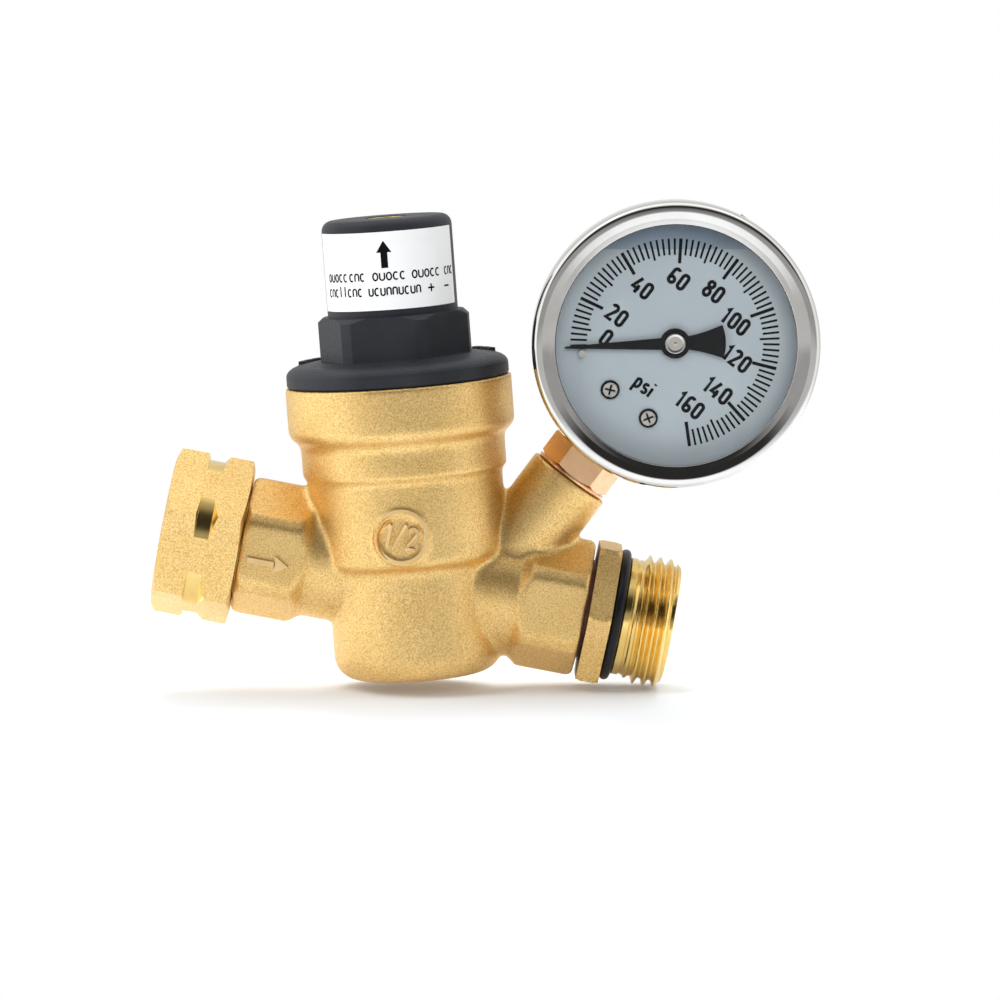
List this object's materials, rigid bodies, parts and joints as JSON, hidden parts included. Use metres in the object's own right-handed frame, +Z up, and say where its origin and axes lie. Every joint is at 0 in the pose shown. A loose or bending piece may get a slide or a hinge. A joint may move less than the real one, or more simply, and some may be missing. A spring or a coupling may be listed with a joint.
{
  "type": "water pressure regulator",
  "caption": "Spring-loaded water pressure regulator with a swivel hose inlet, a male hose outlet, an adjusting screw on top and a liquid-filled pressure gauge on a side boss.",
  "frame": {"origin": "centre of the inlet swivel nut's mouth, on the axis the two hose threads share", "axes": "+X is the flow direction, from the swivel nut to the male thread; +Z is up, towards the gauge and the adjusting screw; the dial faces -Y"},
  "size_m": [0.126, 0.047, 0.1113],
  "materials": {
    "blasted_brass": "grit-blasted forged brass, matte",
    "machined_brass": "machined bright brass",
    "copper_alloy": "machined copper alloy",
    "black_plastic": "moulded glass-filled plastic, satin black",
    "label_film": "white printed film",
    "black_rubber": "moulded nitrile rubber",
    "polished_steel": "polished stainless steel",
    "spring_steel": "drawn spring steel",
    "lens_glass": "clear flat window",
    "dial_paint": "white enamelled dial",
    "pointer_paint": "black enamel",
    "nylon": "natural nylon"
  },
  "bodies": {
    "body": {"valve_body": "blasted_brass", "bonnet": "black_plastic", "bonnet_label": "label_film", "bonnet_gasket": "black_rubber", "seat_insert": "machined_brass", "seat_oring": "black_rubber", "inlet_tailpiece": "machined_brass", "inlet_washer": "black_rubber", "strainer_screen": "polished_steel", "outlet_nipple": "machined_brass", "outlet_oring": "black_rubber", "gauge_socket": "copper_alloy", "gauge_restrictor": "spring_steel", "gauge_case": "polished_steel", "case_oring": "black_rubber", "case_screws": "polished_steel", "gauge_bezel": "polished_steel", "gauge_lens": "lens_glass", "lens_gasket": "black_rubber", "gauge_dial": "dial_paint", "dial_screws": "polished_steel", "pointer_stop": "polished_steel", "fill_plug": "black_rubber", "movement_back_plate": "machined_brass", "movement_front_plate": "machined_brass", "movement_pillars": "machined_brass", "bourdon_tube": "copper_alloy", "hairspring": "spring_steel", "range_spring": "spring_steel"},
    "swivel_nut": {"swivel_nut": "blasted_brass"},
    "spring_seat": {"spring_seat": "spring_steel"},
    "adjusting_screw": {"adjusting_screw": "machined_brass"},
    "piston": {"piston": "machined_brass", "piston_oring": "black_rubber", "piston_guide_ring": "nylon", "disc_holder": "machined_brass", "disc_washer": "black_rubber", "disc_nut": "machined_brass"},
    "pointer": {"pointer": "pointer_paint", "pointer_hub": "polished_steel", "pinion_arbor": "spring_steel"},
    "sector": {"sector_gear": "machined_brass"},
    "tip_link": {"tip_link": "spring_steel"},
    "bourdon_tip": {"bourdon_tip": "machined_brass"}
  },
  "joints": [
    {"name": "nut_swivel", "type": "hinge", "parent": "body", "child": "swivel_nut", "pos_m": [0.008, 0, 0], "axis": [1, 0, 0], "continuous": true},
    {"name": "seat_travel", "type": "slide", "parent": "body", "child": "spring_seat", "axis": [-0.2588, 0, 0.9659], "range_m": [-0.005, 0.00125], "deforming": ["range_spring"]},
    {"name": "screw_turn", "type": "hinge", "parent": "spring_seat", "child": "adjusting_screw", "pos_m": [0.0526, 0, 0], "axis": [-0.2588, 0, 0.9659], "range_deg": [-1440, 360]},
    {"name": "piston_slide", "type": "slide", "parent": "body", "child": "piston", "axis": [-0.2588, 0, 0.9659], "range_m": [0, 0.0024]},
    {"name": "pointer_turn", "type": "hinge", "parent": "body", "child": "pointer", "pos_m": [0.09648, 0, 0.0586], "axis": [0, 1, 0], "range_deg": [0, 264]},
    {"name": "sector_turn", "type": "hinge", "parent": "body", "child": "sector", "pos_m": [0.08514, 0, 0.05469], "axis": [0, 1, 0], "range_deg": [-29.4, 0]},
    {"name": "link_turn", "type": "hinge", "parent": "sector", "child": "tip_link", "pos_m": [0.08635, 0, 0.04984], "axis": [0, 1, 0], "range_deg": [0, 29.4]},
    {"name": "tip_travel", "type": "slide", "parent": "body", "child": "bourdon_tip", "axis": [0.8774, 0, 0.4797], "range_m": [0, 0.00253], "deforming": ["bourdon_tube"]}
  ],
  "couplings": [
    {"joint": "screw_turn", "follows": "seat_travel", "rad_per_m": 5026.5},
    {"joint": "pointer_turn", "follows": "tip_travel", "rad_per_m": 1819.8},
    {"joint": "sector_turn", "follows": "tip_travel", "rad_per_m": -202.2},
    {"joint": "link_turn", "follows": "tip_travel", "rad_per_m": 202.2}
  ]
}
